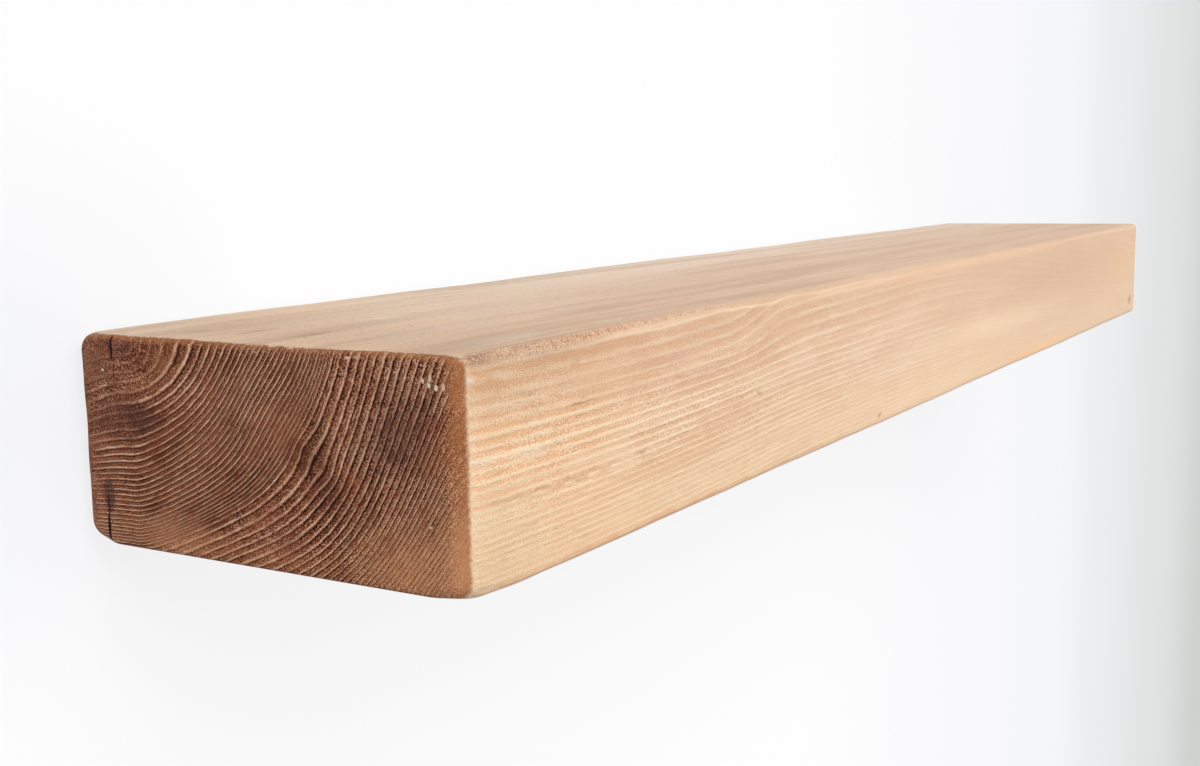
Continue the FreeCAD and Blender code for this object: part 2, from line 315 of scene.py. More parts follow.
def wear_beam(points, half):
    """Hand finishing: softer or sharper edges along the length, and faces that aren't dead flat."""
    x, y, z = points.T
    top, front = z > 0, y < 0
    edge = ARRIS_RADIUS + ripple(x, (0.5 * MM, 0.31, 0.4), (0.3 * MM, 0.083, 1.1), (0.2 * MM, 0.034, 2))
    edge = edge * np.where(front, np.where(top, 0.72, 0.62), 1)
    worn = soft_step(x, -270 * MM, -160 * MM) * (1 - soft_step(x, 90 * MM, 260 * MM))
    edge = edge + np.where(top, np.where(front, 2.6 * MM * worn, 1 * MM), 0)
    at_end = 1 - soft_step(half[0] - np.abs(x), 5 * MM, 14 * MM)
    at_corner = soft_step(np.abs(y), half[1] - 16 * MM, half[1] - 7 * MM)
    edge = edge + at_end * (1 - at_corner) * (END_ARRIS_RADIUS - edge)
    left = 1 - soft_step(x, -half[0] + 4 * MM, -half[0] + 30 * MM)
    edge = edge + left * at_corner * np.where(top, 1 * MM * ~front, 2.5 * MM)
    corner = CORNER_RADIUS + ripple(z, (0.3 * MM, 0.05, 0.6), (0.2 * MM, 0.021, 0.2))
    moved = round_beam(points, half, corner, edge)
    hollow = HOLLOW * (1 + ripple(x, (0.6, 0.27, 0.3), (0.4, 0.11, 1.7)))
    moved[:, 1] += hollow * soft_step(-moved[:, 1], half[1] - 2 * MM, half[1])
    moved[:, 2] -= 0.8 * hollow * soft_step(moved[:, 2], half[2] - 2 * MM, half[2])
    return moved


def bore_cutter(x):
    """A round bore from the channel floor with a slightly opened mouth."""
    bm = bmesh.new()
    floor, end = -CHANNEL.y, -BORE_DEPTH
    profile = [
        (0, 0.5 * floor),
        (BORE_RADIUS + BORE_MOUTH, 0.5 * floor),
        (BORE_RADIUS + BORE_MOUTH, floor),
        (BORE_RADIUS, floor - BORE_MOUTH),
    ]
    profile += [(BORE_RADIUS, y) for y in np.linspace(floor - BORE_MOUTH, end, 12)[1:]]
    profile += [(0, end)]
    turn_profile(bm, x, profile, 48)
    bmesh.ops.remove_doubles(bm, verts=bm.verts, dist=1e-6)
    bmesh.ops.recalc_face_normals(bm, faces=bm.faces)
    return bm


def channel_cutter():
    size = Vector((CHANNEL.x, 2 * CHANNEL.y, CHANNEL.z))
    bm = block(size, (0, 0, 0))
    deep = edges_along(bm, 1)
    bmesh.ops.bevel(
        bm, geom=deep, offset=ROUTER_RADIUS, affect="EDGES", segments=8, profile=0.5, material=-1
    )
    slice_along(bm, 0, np.arange(-0.37, 0.371, 0.02))
    slice_along(bm, 2, np.arange(-0.015, 0.0151, 0.005))
    slice_along(bm, 1, (-0.010, -0.005))
    bmesh.ops.recalc_face_normals(bm, faces=bm.faces)
    return bm


def make_beam(material):
    low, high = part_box("shelf_beam")
    half = (high - low) / 2
    centre = np.array((low + high) / 2)
    stations = (
        graded_stations(half.x, 0.8 * MM, FINE_MARGIN, 11 * MM),
        graded_stations(half.y, 0.75 * MM, FINE_MARGIN, 1.05 * MM),
        graded_stations(half.z, 0.75 * MM, FINE_MARGIN, 0.85 * MM),
    )
    bm = block((1, 1, 1), (0, 0, 0))
    for axis, places in enumerate(stations):
        bmesh.ops.subdivide_edges(bm, edges=edges_along(bm, axis), cuts=len(places) - 2, use_grid_fill=True)
    mesh = mesh_from(bm, "timber_beam")
    points = read_vectors(mesh.vertices, "co")
    for axis, places in enumerate(stations):
        index = np.rint((points[:, axis] + 0.5) * (len(places) - 1)).astype(int)
        points[:, axis] = np.array(places)[index]
    write_points(mesh, wear_beam(points, half) + centre)

    beam = piece_of(mesh, "timber_beam", "beam", material)
    cut_away(beam, channel_cutter())
    for x in BORES:
        cut_away(beam, bore_cutter(x))
    mesh = beam.data
    points = read_vectors(mesh.vertices, "co")
    normals = read_vectors(mesh.vertex_normals, "vector")
    inside = np.abs(points[:, 0]) < CHANNEL.x / 2 + 1e-4
    inside &= np.abs(points[:, 2]) < CHANNEL.z / 2 + 1e-4
    inside &= (points[:, 1] > low.y + 20 * MM) & (points[:, 1] < high.y - 0.1 * MM)
    across, deep, up = np.abs(normals.T)
    in_front = points[:, 1] < centre[1]
    ends = soft_step(across - 0.35 * deep * in_front, 0.12, 0.62) * ~inside
    grown = points.copy()
    grown[(ends < 0.3) & (deep > up) & in_front, 1] = low.y
    rings, widths = count_rings(ring_reach(grown))
    groove = 0.5 + 0.5 * np.cos(math.tau * (rings - 0.2))
    relief = GROOVE_DEPTH * groove * soft_step(widths, 1.4, 2.1) * soft_step(across, 0.9, 0.99) * ~inside
    points[:, 0] -= np.sign(points[:, 0]) * relief
    write_points(mesh, points)
    keep_value(mesh, "rings", rings)
    keep_value(mesh, "end_grain", ends)
    keep_value(mesh, "arris", 2 * up * np.maximum(deep, across) * ~inside)
    keep_value(mesh, "fresh_cut", inside.astype(float))
    shade(mesh)
    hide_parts("shelf_beam")


# ---------------------------------------------------------------- wall screws


def screw_shank(bm):
    """Plain neck, threaded core and point, turned about the Y axis."""
    profile = [
        (0, HEAD_SEAT - NECK_TUCK),
        (NECK_RADIUS, HEAD_SEAT - NECK_TUCK),
        (NECK_RADIUS, NECK_END),
        (THREAD_ROOT, THREAD_START),
        (THREAD_ROOT, POINT_START),
        (0, SCREW_TIP),
    ]
    turn_profile(bm, 0, profile, TURN_STEPS)


def screw_thread(bm):
    """One helical ridge, wound from the neck and fading out on the point."""
    turns = (SCREW_TIP - 1.5 * MM - THREAD_START) / THREAD_PITCH
    root, foot, crest = THREAD_ROOT - 0.3 * MM, 0.85 * MM, 0.12 * MM
    section = ((root, -foot), (THREAD_RADIUS, -crest), (THREAD_RADIUS, crest), (root, foot))
    verts = [bm.verts.new((radius, THREAD_START + y, 0)) for radius, y in section]
    start = bm.faces.new(verts)
    old = set(bm.verts) - set(verts)
    count = round(turns * TURN_STEPS)
    bmesh.ops.spin(
        bm,
        geom=[start],
        cent=(0, 0, 0),
        axis=(0, 1, 0),
        dvec=(0, THREAD_PITCH / TURN_STEPS, 0),
        angle=math.tau * count / TURN_STEPS,
        steps=count,
        use_merge=False,
    )
    for vert in set(bm.verts) - old:
        taper = min(1, max(0, (SCREW_TIP - vert.co.y) / (SCREW_TIP - POINT_START)))
        run_in = min(1, max(0.7, (vert.co.y - THREAD_START + THREAD_PITCH) / (2 * THREAD_PITCH)))
        vert.co.x *= taper * run_in
        vert.co.z *= taper * run_in


def screw_head(bm):
    """A six-sided head, its corners chamfered by turning and its top slightly dished."""
    segments = 72
    turn = Matrix.Rotation(math.radians(-90), 4, "X")
    ring = bmesh.ops.create_circle(bm, cap_ends=True, segments=segments, radius=1, matrix=turn)["verts"]
    for vert in ring:
        angle = math.atan2(vert.co.z, vert.co.x)
        lean = (angle + math.tau) % (math.pi / 3) - math.pi / 6
        radius = HEAD_FLATS / 2 / math.cos(lean)
        vert.co = Vector((radius * math.cos(angle), HEAD_SEAT, radius * math.sin(angle)))
    face = next(f for f in bm.faces if len(f.verts) == segments)
    grown = bmesh.ops.extrude_face_region(bm, geom=[face], use_keep_orig=True)["geom"]
    top = [v for v in grown if isinstance(v, bmesh.types.BMVert)]
    for vert in top:
        radius = math.hypot(vert.co.x, vert.co.z)
        drop = max(0, radius - 0.49 * HEAD_FLATS) * math.tan(math.radians(30))
        vert.co.y = HEAD_SEAT - HEAD_HEIGHT + drop
    cap = next(f for f in grown if isinstance(f, bmesh.types.BMFace))
    bmesh.ops.inset_region(bm, faces=[cap], thickness=0.02 * HEAD_FLATS, use_even_offset=True)
    for vert in cap.verts:
        radius = math.hypot(vert.co.x, vert.co.z)
        vert.co.x *= 0.48 * HEAD_FLATS / radius
        vert.co.z *= 0.48 * HEAD_FLATS / radius
        vert.co.y = HEAD_SEAT - HEAD_HEIGHT
    bmesh.ops.inset_region(bm, faces=[cap], thickness=0.18 * HEAD_FLATS, depth=-0.35 * MM)


def make_screws(material):
    model = bmesh.new()
    screw_shank(model)
    screw_thread(model)
    screw_head(model)
    bmesh.ops.remove_doubles(model, verts=model.verts, dist=1e-6)
    bmesh.ops.recalc_face_normals(model, faces=model.faces)
    for row in ("upper", "lower"):
        for number in (1, 2, 3, 4):
            node = f"wall_screw_{row}_{number}"
            low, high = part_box(node)
            bm = model.copy()
            turn = Matrix.Rotation(math.radians(37 * number + (11 if row == "upper" else 0)), 4, "Y")
            bmesh.ops.transform(bm, verts=bm.verts, matrix=turn)
            middle = (low + high) / 2
            bmesh.ops.translate(bm, verts=bm.verts, vec=(middle.x, 0, middle.z))
            screw = piece_of(mesh_from(bm, f"hex_{node}"), f"hex_{node}", "bracket", material)
            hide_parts(node)
    model.free()


# ---------------------------------------------------------------- finishes


class Recipe:
    """Adds nodes to a material or a group. A value is a number, a colour or another node's output."""

    def __init__(self, tree):
        self.tree = tree

    def node(self, kind, **settings):
        node = self.tree.nodes.new(kind)
        for name, value in settings.items():
            setattr(node, name, value)
        return node

    def feed(self, socket, value):
        if isinstance(value, bpy.types.NodeSocket):
            self.tree.links.new(value, socket)
        else:
            socket.default_value = value

    def maths(self, operation, *values, clamp=False):
        node = self.node("ShaderNodeMath", operation=operation, use_clamp=clamp)
        for socket, value in zip(node.inputs, values):
            self.feed(socket, value)
        return node.outputs[0]

    def times(self, value, *others):
        for other in others:
            value = self.maths("MULTIPLY", value, other)
        return value

    def plus(self, value, *others):
        for other in others:
            value = self.maths("ADD", value, other)
        return value

    def vector(self, operation, *values):
        node = self.node("ShaderNodeVectorMath", operation=operation)
        for socket, value in zip(node.inputs, values):
            self.feed(socket, value)
        return node.outputs["Value" if operation == "LENGTH" else "Vector"]

    def mix(self, share, first, second, blend="MIX"):
        node = self.node("ShaderNodeMix", data_type="RGBA", blend_type=blend)
        self.feed(node.inputs["Factor"], share)
        self.feed(node.inputs[6], first)
        self.feed(node.inputs[7], second)
        return node.outputs[2]

    def lay(self, colour, *coats):
        """Lays tints over a colour in turn: each coat has a share and a tint in screen values."""
        for share, tint in coats:
            colour = self.mix(share, colour, paint(*tint))
        return colour

    def blend(self, share, first, second):
        """Mixes two shaders."""
        node = self.node("ShaderNodeMixShader")
        for socket, value in zip(node.inputs, (share, first, second)):
            self.feed(socket, value)
        return node.outputs[0]

    def off_centre(self, value, amount, middle=0):
        """A pattern that swings either side of a middle value by half the amount."""
        if isinstance(middle, bpy.types.NodeSocket):
            return self.maths("MULTIPLY_ADD", self.maths("SUBTRACT", value, 0.5), amount, middle)
        return self.maths("MULTIPLY_ADD", value, amount, middle - 0.5 * amount)

    def axes(self, place):
        node = self.node("ShaderNodeSeparateXYZ")
        self.feed(node.inputs[0], place)
        return node.outputs

    def remap(self, value, low, high, to_low=0, to_high=1):
        node = self.node("ShaderNodeMapRange", interpolation_type="SMOOTHSTEP")
        names = ("Value", "From Min", "From Max", "To Min", "To Max")
        for name, given in zip(names, (value, low, high, to_low, to_high)):
            self.feed(node.inputs[name], given)
        return node.outputs["Result"]

    def ramp(self, value, *stops):
        node = self.node("ShaderNodeValToRGB")
        node.color_ramp.interpolation = "EASE"
        elements = node.color_ramp.elements
        while len(elements) < len(stops):
            elements.new(0.5)
        for element, (position, colour) in zip(elements, stops):
            element.position = position
            element.color = colour if isinstance(colour, tuple) else (colour, colour, colour, 1)
        self.feed(node.inputs["Fac"], value)
        return node.outputs["Color"]

    def place(self, stretch=(1, 1, 1)):
        """Object coordinates, stretched for a pattern."""
        return self.vector("MULTIPLY", self.node("ShaderNodeTexCoord").outputs["Object"], stretch)

    def noise(self, place, scale, detail, roughness, output="Fac"):
        node = self.node("ShaderNodeTexNoise")
        names = ("Vector", "Scale", "Detail", "Roughness")
        for name, given in zip(names, (place, scale, detail, roughness)):
            self.feed(node.inputs[name], given)
        return node.outputs[output]

    def along_rings(self, rings, across, length, grain=1):
        """Coordinates for a pattern drawn out along each ring by a length, and along the beam by a grain."""
        node = self.node("ShaderNodeCombineXYZ")
        x, y, z = self.axes(self.place())
        self.feed(node.inputs[0], self.times(rings, across))
        self.feed(node.inputs[1], self.maths("MULTIPLY_ADD", x, 1 / grain, self.times(y, 1 / length)))
        self.feed(node.inputs[2], self.times(z, 1 / length))
        return node.outputs[0]

    def held(self, name):
        """A value that the mesh carries."""
        return self.node("ShaderNodeAttribute", attribute_name=name).outputs["Fac"]

    def bump(self, height, distance):
        node = self.node("ShaderNodeBump")
        node.inputs["Distance"].default_value = distance
        self.feed(node.inputs["Height"], height)
        return node.outputs["Normal"]

    def use(self, group, **values):
        """Places a shared effect with this finish's own values."""
        node = self.node("ShaderNodeGroup", node_tree=group)
        for name, value in values.items():
            self.feed(node.inputs[name.replace("_", " ").title()], value)
        return node.outputs[0]


def shared_effect(name, output, vectors, numbers):
    """An empty node group that takes named vectors and numbers and gives one number."""
    tree = bpy.data.node_groups.new(name, "ShaderNodeTree")
    for titles, kind in ((vectors, "Vector"), (numbers, "Float")):
        for title in titles:
            tree.interface.new_socket(title, in_out="INPUT", socket_type=f"NodeSocket{kind}")
    tree.interface.new_socket(output, in_out="OUTPUT", socket_type="NodeSocketFloat")
    recipe = Recipe(tree)
    given = recipe.node("NodeGroupInput").outputs
    result = recipe.node("NodeGroupOutput").inputs[0]
    return tree, recipe, given, result


def mottle_effect():
    """Fine crumbs and broad clouds of unevenness that swing either side of nothing."""
    tree, r, given, result = shared_effect(
        "mottle", "Shift", ("Place",), ("Crumb Scale", "Crumb", "Cloud Scale", "Cloud")
    )
    crumb = r.remap(r.noise(given["Place"], given["Crumb Scale"], 2, 0.9), 0.3, 0.7)
    cloud = r.noise(given["Place"], given["Cloud Scale"], 3, 0.55)
    crumb = r.times(r.maths("SUBTRACT", crumb, 0.5), given["Crumb"])
    cloud = r.times(r.maths("SUBTRACT", cloud, 0.5), given["Cloud"])
    r.feed(result, r.plus(crumb, cloud))
    return tree


def soft_spot_effect():
    """A rounded patch with a ragged edge: 1 at its centre, 0 outside its reach."""
    tree, r, given, result = shared_effect("soft_spot", "Mask", ("Place", "Centre", "Reach"), ("Edge",))
    away = r.vector("DIVIDE", r.vector("SUBTRACT", given["Place"], given["Centre"]), given["Reach"])
    r.feed(result, r.remap(r.vector("LENGTH", away), 1, given["Edge"]))
    return tree


def edge_rub_effect():
    """Where handling has rubbed an edge: the edge's own value broken up by a fine, uneven pattern."""
    tree, r, given, result = shared_effect("edge_rub", "Mask", ("Place",), ("Edge", "Grit", "Amount"))
    grit = r.noise(given["Place"], given["Grit"], 4, 0.65)
    edge = r.remap(given["Edge"], 0.35, 0.95, 0, 0.9)
    worn = r.plus(edge, r.off_centre(grit, 1.3))
    r.feed(result, r.maths("MULTIPLY", r.remap(worn, 0.35, 0.8), given["Amount"], clamp=True))
    return tree


def recipe_for(owner):
    """An empty recipe for a material or a world."""
    owner.use_nodes = True
    owner.node_tree.nodes.clear()
    return Recipe(owner.node_tree)


def new_finish(name):
    material = bpy.data.materials.new(name)
    recipe = recipe_for(material)
    surface = recipe.node("ShaderNodeBsdfPrincipled")
    output = recipe.node("ShaderNodeOutputMaterial")
    recipe.feed(output.inputs["Surface"], surface.outputs["BSDF"])
    return material, recipe, surface.inputs


def on_left_end(*spots):
    """Spots given by y and z alone, placed on the beam's left end."""
    return [((-450, *centre), (8, *reach), *rest) for centre, reach, *rest in spots]


# Marks on the timber: centre and reach in millimetres, tint, share and, if given, where the edge starts.
END_MARKS = on_left_end(
    ((-25, 30.5), (11, 8), (104, 62, 56), 0.7, 0.1),
    ((-13, 26), (10, 12), (112, 74, 60), 0.6, 0.1),
    ((-42, 27), (9, 9), (172, 112, 74), 0.5, 0.1),
    ((-35, 20), (9, 4), (168, 108, 70), 0.4, 0.1),
    ((-20, 9), (20, 14), (84, 56, 48), 0.6, 0.1),
    ((-32, 8), (12, 8), (68, 44, 42), 0.65, 0.3),
    ((-139, 14), (17, 19), (80, 58, 54), 0.5, 0.1),
    ((-130, 6), (18, 14), (66, 46, 42), 0.4, 0.1),
    ((-73, 7), (18, 10), (80, 50, 34), 0.25, 0.1),
    ((-92, -26), (12, 8), (80, 52, 38), 0.25, 0.1),
    ((-42, -27), (28, 8), (200, 134, 94), 0.3),
    ((-105, 0), (10, 18), (52, 32, 26), 0.45, 0.2),
    ((-112, -10), (7, 8), (44, 28, 24), 0.45, 0.2),
    ((-118, -3), (8, 5), (160, 84, 54), 0.4, 0.2),
    ((-86, -19), (14, 5), (166, 96, 62), 0.25, 0.1),
    ((-40, -2), (16, 10), (98, 56, 36), 0.3),
    ((-60, 4), (45, 14), (156, 92, 58), 0.2),
    ((-96, 6), (9, 26), (170, 108, 68), 0.22),
    ((-70, -30), (90, 9), (206, 130, 86), 0.35),
    ((-142, -26), (34, 20), (240, 158, 106), 0.55),
    ((-160, -20), (16, 28), (234, 162, 114), 0.62),
    ((-90, 10), (15, 13), (182, 98, 64), 0.3),
    ((-150, 8), (14, 14), (196, 114, 72), 0.28),
    ((-50, -28), (18, 9), (214, 140, 98), 0.2),
    ((-8, 26), (10, 12), (190, 134, 106), 0.3),
    ((-118, -12), (16, 10), (96, 50, 34), 0.25),
    ((-158, 12), (7, 26), (176, 106, 66), 0.5, 0.1),
    ((-1, 0), (10, 50), (164, 106, 72), 0.45, 0.1),
)
# Rubbed flat: where the ridges of the end grain fade, and by what share.
FLAT_SPOTS = on_left_end(
    ((-24, 32), (26, 19), 0.8, 0.6),
    ((-1, 0), (17, 160), 0.86, 0.2),
    ((-163, 0), (14, 160), 0.97, 0.3),
    ((-80, 39), (160, 8), 0.8, 0.3),
    ((-150, -36), (24, 10), 0.5, 0.2),
    ((-22, 9), (20, 12), 0.6, 0.2),
    ((-70, -38), (80, 5), 0.5, 0.2),
)
# Where the stain took less, or more where the number is below nothing.
PALE_SPOTS = on_left_end(
    ((-144, -26), (34, 22), 0.17),
    ((-48, -30), (26, 12), 0.17),
    ((-56, -8), (60, 13), -0.05),
    ((-8, -30), (18, 14), 0.1),
    ((-84, 8), (16, 16), 0.05),
)
# Where the pale finish wraps over the end's edges, and how far it hides the stain.
BARE_SPOTS = on_left_end(
    ((-80, 35.3), (300, 0.9), 1, 0.4),
    ((-94, 35.3), (44, 2.1), 1, 0.5),
    ((-161, 36), (12, 5), 0.66, 0.3),
)
# Marks on the front and the top.
SIDE_MARKS = (
    ((-333, -160, 20), (34, 12, 3), (218, 164, 142), 0.5, 0.1),
    ((-300, -160, 13), (90, 12, 7), (222, 174, 148), 0.3),
    ((-438, -160, 25), (20, 6, 5), (222, 168, 118), 0.5, 0.1),
    ((-431, -160, 27.5), (9, 6, 1.8), (248, 222, 188), 0.7, 0.1),
    ((-437, -160, -16), (34, 6, 30), (252, 224, 180), 0.35),
    ((-400, -160, -9), (60, 6, 1.4), (212, 158, 110), 0.5, 0.2),
    ((-390, -160, 29), (60, 7, 4), (212, 160, 122), 0.5),
    ((-424, -58, 35), (14, 4, 6), (172, 126, 92), 0.55),
    ((-431, -40, 35), (7, 6, 6), (180, 134, 100), 0.5),
    ((-424, -82, 35), (12, 3.5, 6), (160, 116, 82), 0.55),
    ((-376, -71, 35), (16, 6, 6), (240, 218, 194), 0.6),
    ((-385, -30, 35), (60, 22, 6), (222, 180, 138), 0.4),
    ((-410, -146, 35), (32, 9, 6), (230, 208, 184), 0.6),
    ((-355, -149, 35), (12, 4, 6), (226, 208, 182), 0.5),
    ((-316, -122, 35), (44, 10, 6), (192, 150, 116), 0.5),
    ((-180, -126, 35), (70, 9, 6), (196, 156, 122), 0.4),
    ((-135, -152, 35), (22, 5, 6), (232, 208, 180), 0.5),
    ((-262, -160, -1.5), (4, 4, 1.6), (186, 130, 94), 0.6),
    ((-355, -160, -8.6), (8, 4, 1), (184, 128, 90), 0.6),
    ((-132, -160, -30), (4, 5, 2), (176, 128, 90), 0.7),
    ((-320, -160, -34), (230, 9, 2.6), (228, 158, 106), 0.55),
    ((60, -160, -6), (230, 12, 12), (244, 216, 178), 0.6),
    ((150, -160, -31), (110, 12, 5), (240, 190, 136), 0.6),
    ((390, -160, 8), (90, 12, 24), (228, 184, 136), 0.5),
    ((190, -160, 12), (340, 12, 36), (208, 170, 136), 0.6),
    ((40, -160, 27), (130, 12, 9), (216, 178, 148), 0.35),
    ((-400, -112, 35), (44, 22, 6), (230, 202, 176), 0.45),
    ((-330, -70, 35), (110, 90, 6), (240, 214, 190), 0.35),
    ((-190, -40, 35), (110, 34, 6), (236, 206, 176), 0.35),
    ((-120, -70, 35), (90, 18, 6), (222, 182, 146), 0.3),
    ((425, -160, -24), (9, 6, 5), (150, 112, 84), 0.7),
    ((447, -160, 4), (9, 12, 36), (240, 190, 134), 0.6),
)
# Drying checks, pale specks and, on the end, painted highlights as small glints, drawn finer than the marks.
FINE_SIDE_MARKS = (
    ((-447, -159, 27.5), (3.5, 3, 1.6), (252, 240, 226), 0.75, 0.2),
    ((-391, -160, 13.6), (13, 3, 0.34), (150, 98, 68), 0.55, 0.2),
    ((-446, -20.5, 35), (5, 0.7, 2), (112, 78, 62), 0.7, 0.3),
    ((-443, -160, 4), (11, 3, 2.6), (252, 234, 208), 0.6),
    ((-418, -160, 3), (18, 3, 2), (250, 230, 206), 0.5),
)
FINE_END_MARKS = on_left_end(
    ((-14.5, -18), (3.4, 7), (74, 48, 46), 0.7, 0.5),
    ((-19.8, 30.5), (0.8, 5), (34, 20, 20), 0.97, 0.6),
    ((-20.4, 23), (0.5, 4.5), (60, 36, 32), 0.8, 0.3),
    ((-13.9, -22), (0.6, 6), (44, 28, 28), 0.9, 0.4),
    ((-13.5, -29), (0.9, 6), (30, 18, 20), 0.97, 0.6),
    # Painted highlights: small white glints on the waxed end grain.
    ((-15, 23.2), (0.7, 0.6), (252, 240, 224), 1, 0.4),
    ((-145.5, 27.4), (0.6, 1), (250, 226, 200), 1, 0.5),
    ((-148.2, 28.2), (0.7, 1.4), (250, 222, 192), 1, 0.5),
    ((-147.7, 26.1), (0.65, 1), (255, 240, 214), 1, 0.5),
    ((-150.1, 25.6), (0.7, 1.2), (255, 242, 220), 1, 0.5),
    ((-152.6, 26), (0.6, 1.4), (250, 210, 176), 1, 0.5),
    ((-146.6, -14), (0.9, 0.5), (240, 216, 196), 0.9, 0.4),
    ((-119, 32.4), (1.6, 0.6), (242, 214, 186), 0.9, 0.4),
    ((-122.5, 32.7), (2.2, 0.5), (226, 190, 160), 0.8, 0.3),
    ((-83, 32.2), (1.5, 0.5), (226, 184, 150), 0.8, 0.3),
    ((-86.5, 32.5), (1.2, 0.4), (214, 170, 136), 0.7, 0.3),
)


def patch(r, spot, place, centre, reach, edge=0):
    """1 in the middle of a patch and 0 past its reach, both given in millimetres."""
    return r.use(spot, place=place, centre=in_metres(centre), reach=in_metres(reach), edge=edge)


def mark_with(r, colour, marks, place, spot):
    for centre, reach, tint, share, *edge in marks:
        mask = patch(r, spot, place, centre, reach, *edge)
        colour = r.mix(r.times(mask, share), colour, paint(*tint))
    return colour


def shaken_place(r, place, scale, amount):
    """Object coordinates stirred a little, so that a patch gets a natural outline."""
    stir = r.vector("SUBTRACT", r.noise(place, scale, 3, 0.6, output="Color"), (0.5, 0.5, 0.5))
    return r.vector("ADD", place, r.vector("MULTIPLY", stir, (amount, amount, amount)))


def end_grain(r, place, rings, spot, mottle):
    """Brushed and stained dark: thin pale ridges of late wood, crumbly grooves between them, and marks."""
    across, up = r.axes(place)[1:3]
    stirred = shaken_place(r, place, 110, 9 * MM)
    broken = r.noise(r.along_rings(rings, 1.7, 3.6 * MM), 1, 3, 0.65)
    tinge = r.noise(r.along_rings(rings, 0.5, 16 * MM), 1, 3, 0.6)
    broad = r.noise(place, 34, 3, 0.55)
    share = r.maths("FRACT", rings)
    thin = r.ramp(
        share, (0, 0.32), (0.28, 0.28), (0.39, 0.4), (0.47, 0.95), (0.59, 1), (0.67, 0.6), (0.74, 0.04),
        (0.83, 0), (0.92, 0.2), (1, 0.32)
    )
    wide = r.ramp(
        share, (0, 0.36), (0.28, 0.4), (0.42, 0.5), (0.52, 0.92), (0.62, 0.9), (0.69, 0.3), (0.74, 0),
        (0.84, 0), (0.93, 0.3)
    )
    ridge = r.mix(r.remap(across, -98 * MM, -128 * MM), thin, wide)
    strength = r.remap(r.plus(broken, r.times(broad, 0.5)), 0.45, 1, 0.4, 1.6)
    for centre, reach, flat, edge in FLAT_SPOTS:
        mask = patch(r, spot, stirred, centre, reach, edge)
        strength = r.times(strength, r.maths("MULTIPLY_ADD", mask, -flat, 1))
    height = r.times(r.maths("SUBTRACT", ridge, 0.34), strength)
    shift = r.use(mottle, place=place, crumb_scale=2500, crumb=1.4, cloud_scale=40, cloud=0.5)
    tone = r.plus(height, shift, r.off_centre(broken, 0.5, 0.4), r.off_centre(tinge, 0.5))
    for centre, reach, paler in PALE_SPOTS:
        tone = r.maths("MULTIPLY_ADD", patch(r, spot, stirred, centre, reach), paler, tone)
    colour = r.ramp(
        tone,
        (0, paint(35, 14, 10)),
        (0.24, paint(95, 42, 26)),
        (0.46, paint(152, 74, 45)),
        (0.76, paint(217, 132, 94)),
        (1, paint(255, 200, 164)),
    )
    colour = r.lay(
        colour,
        (r.remap(tinge, 0.5, 0.66, 0, 0.4), (138, 70, 42)),
        (r.remap(tinge, 0.48, 0.34, 0, 0.35), (98, 62, 40)),
    )
    colour = mark_with(r, colour, END_MARKS, stirred, spot)
    relief = r.ramp(tone, (0.1, 0.08), (0.45, 0.5), (0.9, 0.95))
    colour = r.mix(0.25, colour, relief, "OVERLAY")

    groove = r.ramp(share, (0.66, 0), (0.75, 1), (0.84, 1), (0.94, 0))
    pits = r.noise(r.along_rings(rings, 1.2, 0.9 * MM), 1, 2, 0.7)
    crumble = r.times(r.remap(broken, 0.6, 0.44), r.remap(pits, 0.56, 0.44, 0.25, 1.25))
    coarse = r.remap(broad, 0.44, 0.56, 0.35, 0.9)
    open_grain = r.maths("MAXIMUM", r.remap(across, -84 * MM, -104 * MM), coarse)
    # Near-black in the brushed-out grooves: partly stain held in the open grain, partly painted shade in the
    # grooves' depth.
    groove_dark_and_shade = r.times(groove, crumble, open_grain, strength)
    inward = r.plus(across, r.off_centre(broken, 9 * MM))
    top_rim = r.remap(up, 32 * MM, 34.2 * MM, 0, 0.6)
    rim = r.maths("MAXIMUM", top_rim, r.remap(inward, -150.5 * MM, -157 * MM))
    rim = r.maths("MAXIMUM", rim, r.remap(across, -5 * MM, -1 * MM, 0, 0.7))
    worn = r.ramp(
        r.plus(r.off_centre(shift, 0.17, 0.63), r.off_centre(broken, 0.55)),
        (0.1, paint(136, 82, 52)),
        (0.5, paint(186, 122, 80)),
        (0.9, paint(222, 158, 112)),
    )
    worn = r.lay(
        worn,
        (r.remap(tinge, 0.48, 0.6, 0, 0.75), (176, 128, 78)),
        (r.remap(up, 0, -30 * MM, 0, 0.3), (226, 162, 122)),
    )
    colour = r.mix(groove_dark_and_shade, colour, paint(30, 17, 14))
    colour = r.mix(r.times(rim, r.remap(broad, 0.4, 0.6, 0.5, 0.85)), colour, worn)
    # Painted shadow: a thin grey-brown line along the bottom edge of the end.
    colour = r.mix(r.remap(up, -33.6 * MM, -34.6 * MM, 0, 0.5), colour, paint(112, 78, 60))
    trembling = shaken_place(r, place, 400, 0.9 * MM)
    colour = mark_with(r, colour, FINE_END_MARKS, trembling, spot)
    height = r.maths("MULTIPLY_ADD", r.noise(place, 1250, 3, 0.75), 0.6, height)
    return colour, r.times(height, r.remap(rim, 0.2, 1, 1, 0.35))


